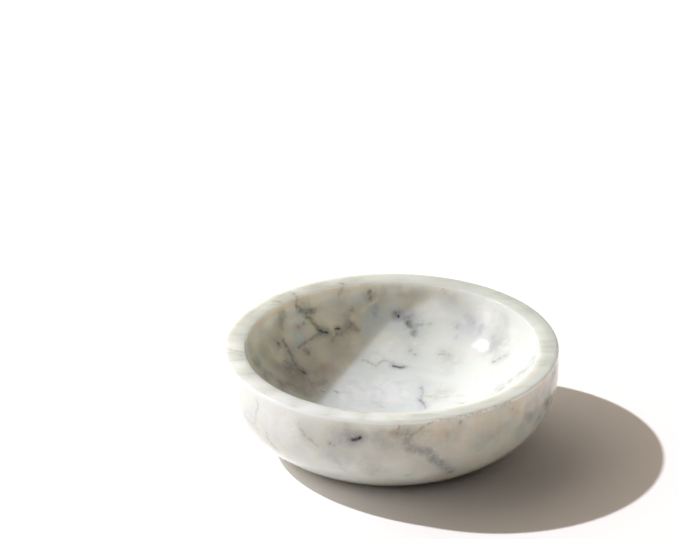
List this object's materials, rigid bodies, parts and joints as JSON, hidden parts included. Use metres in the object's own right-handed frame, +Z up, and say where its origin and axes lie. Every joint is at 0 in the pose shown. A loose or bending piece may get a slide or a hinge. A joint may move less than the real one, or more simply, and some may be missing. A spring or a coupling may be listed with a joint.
{
  "type": "bowl",
  "caption": "Round shallow bowl turned from veined white marble, with a flat rim, upright band, round shoulder and broad foot on thin felt pads.",
  "frame": {"origin": "on the table, under the middle of the bowl, at the underside of the felt pads", "axes": "+Z up along the turning axis; the bowl is round about it; -Y is the side that the picture shows"},
  "size_m": [0.2, 0.2, 0.0617],
  "materials": {
    "polished_marble": "polished white marble with grey, tan and near-black veins",
    "felt": "pressed wool felt, matte",
    "adhesive": "thin translucent acrylic adhesive"
  },
  "bodies": {
    "root": {"marble_bowl": "polished_marble", "felt_pad_back_right": "felt", "felt_pad_back_left": "felt", "felt_pad_front_left": "felt", "felt_pad_front_right": "felt", "adhesive_back_right": "adhesive", "adhesive_back_left": "adhesive", "adhesive_front_left": "adhesive", "adhesive_front_right": "adhesive"}
  },
  "joints": []
}
